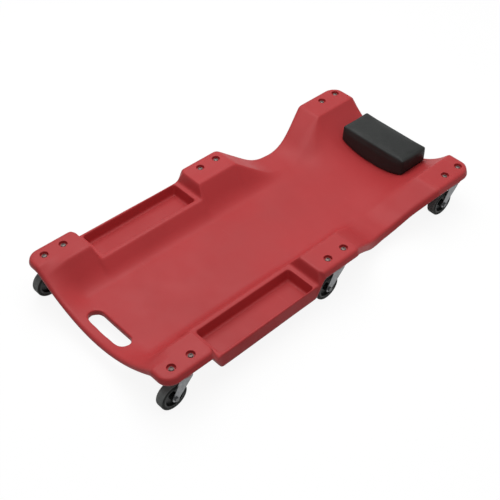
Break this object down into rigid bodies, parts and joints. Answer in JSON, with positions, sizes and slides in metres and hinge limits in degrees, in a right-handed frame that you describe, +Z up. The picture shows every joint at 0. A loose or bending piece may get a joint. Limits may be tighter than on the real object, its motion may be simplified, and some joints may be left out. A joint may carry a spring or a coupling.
{
  "type": "mechanic creeper",
  "caption": "Low blow-moulded mechanic's creeper: a dished lying deck with tool trays, a hand slot and a headrest, on swivel casters.",
  "frame": {"origin": "on the floor under the middle of the deck", "axes": "+X along the deck towards the head end, +Y towards the lying person's left-hand side when they look towards +X on their front, +Z up from the floor"},
  "size_m": [0.97, 0.484, 0.115],
  "materials": {
    "deck": "satin blow-moulded polyethylene",
    "vinyl": "satin black vinyl",
    "board": "plain pressed board",
    "bolt_zinc": "bright zinc plating",
    "caster_zinc": "satin zinc plating",
    "ball_steel": "polished hardened steel",
    "wheel_core": "moulded nylon",
    "tyre": "dark grey rubber"
  },
  "bodies": {
    "deck": {"deck_shell": "deck", "headrest_pad": "vinyl", "headrest_board": "board", "headrest_screws": "bolt_zinc", "deck_bolts": "bolt_zinc", "deck_washers": "bolt_zinc", "deck_nuts": "bolt_zinc", "foot_left_plate": "caster_zinc", "foot_right_plate": "caster_zinc", "mid_left_plate": "caster_zinc", "mid_right_plate": "caster_zinc", "head_left_plate": "caster_zinc", "head_right_plate": "caster_zinc", "kingpins": "caster_zinc", "upper_balls": "ball_steel", "lower_balls": "ball_steel", "retainer_cups": "caster_zinc"},
    "foot_left_swivel": {"foot_left_fork": "caster_zinc", "foot_left_axle_bolt": "bolt_zinc", "foot_left_axle_nut": "bolt_zinc", "foot_left_axle_sleeve": "ball_steel"},
    "foot_left_wheel": {"foot_left_wheel_core": "wheel_core", "foot_left_tyre": "tyre"},
    "foot_right_swivel": {"foot_right_fork": "caster_zinc", "foot_right_axle_bolt": "bolt_zinc", "foot_right_axle_nut": "bolt_zinc", "foot_right_axle_sleeve": "ball_steel"},
    "foot_right_wheel": {"foot_right_wheel_core": "wheel_core", "foot_right_tyre": "tyre"},
    "mid_left_swivel": {"mid_left_fork": "caster_zinc", "mid_left_axle_bolt": "bolt_zinc", "mid_left_axle_nut": "bolt_zinc", "mid_left_axle_sleeve": "ball_steel"},
    "mid_left_wheel": {"mid_left_wheel_core": "wheel_core", "mid_left_tyre": "tyre"},
    "mid_right_swivel": {"mid_right_fork": "caster_zinc", "mid_right_axle_bolt": "bolt_zinc", "mid_right_axle_nut": "bolt_zinc", "mid_right_axle_sleeve": "ball_steel"},
    "mid_right_wheel": {"mid_right_wheel_core": "wheel_core", "mid_right_tyre": "tyre"},
    "head_left_swivel": {"head_left_fork": "caster_zinc", "head_left_axle_bolt": "bolt_zinc", "head_left_axle_nut": "bolt_zinc", "head_left_axle_sleeve": "ball_steel"},
    "head_left_wheel": {"head_left_wheel_core": "wheel_core", "head_left_tyre": "tyre"},
    "head_right_swivel": {"head_right_fork": "caster_zinc", "head_right_axle_bolt": "bolt_zinc", "head_right_axle_nut": "bolt_zinc", "head_right_axle_sleeve": "ball_steel"},
    "head_right_wheel": {"head_right_wheel_core": "wheel_core", "head_right_tyre": "tyre"}
  },
  "joints": [
    {"name": "foot_left_swivel", "type": "hinge", "parent": "deck", "child": "foot_left_swivel", "pos_m": [-0.424, 0.212, 0.079], "axis": [0, 0, 1], "continuous": true},
    {"name": "foot_left_roll", "type": "hinge", "parent": "foot_left_swivel", "child": "foot_left_wheel", "pos_m": [-0.452, 0.212, 0.033], "axis": [0, 1, 0], "continuous": true},
    {"name": "foot_right_swivel", "type": "hinge", "parent": "deck", "child": "foot_right_swivel", "pos_m": [-0.424, -0.212, 0.079], "axis": [0, 0, 1], "continuous": true},
    {"name": "foot_right_roll", "type": "hinge", "parent": "foot_right_swivel", "child": "foot_right_wheel", "pos_m": [-0.452, -0.212, 0.033], "axis": [0, 1, 0], "continuous": true},
    {"name": "mid_left_swivel", "type": "hinge", "parent": "deck", "child": "mid_left_swivel", "pos_m": [0.022, 0.209, 0.079], "axis": [0, 0, 1], "continuous": true},
    {"name": "mid_left_roll", "type": "hinge", "parent": "mid_left_swivel", "child": "mid_left_wheel", "pos_m": [-0.006, 0.209, 0.033], "axis": [0, 1, 0], "continuous": true},
    {"name": "mid_right_swivel", "type": "hinge", "parent": "deck", "child": "mid_right_swivel", "pos_m": [0.022, -0.209, 0.079], "axis": [0, 0, 1], "continuous": true},
    {"name": "mid_right_roll", "type": "hinge", "parent": "mid_right_swivel", "child": "mid_right_wheel", "pos_m": [-0.006, -0.209, 0.033], "axis": [0, 1, 0], "continuous": true},
    {"name": "head_left_swivel", "type": "hinge", "parent": "deck", "child": "head_left_swivel", "pos_m": [0.435, 0.202, 0.079], "axis": [0, 0, 1], "continuous": true},
    {"name": "head_left_roll", "type": "hinge", "parent": "head_left_swivel", "child": "head_left_wheel", "pos_m": [0.407, 0.202, 0.033], "axis": [0, 1, 0], "continuous": true},
    {"name": "head_right_swivel", "type": "hinge", "parent": "deck", "child": "head_right_swivel", "pos_m": [0.435, -0.202, 0.079], "axis": [0, 0, 1], "continuous": true},
    {"name": "head_right_roll", "type": "hinge", "parent": "head_right_swivel", "child": "head_right_wheel", "pos_m": [0.407, -0.202, 0.033], "axis": [0, 1, 0], "continuous": true}
  ]
}
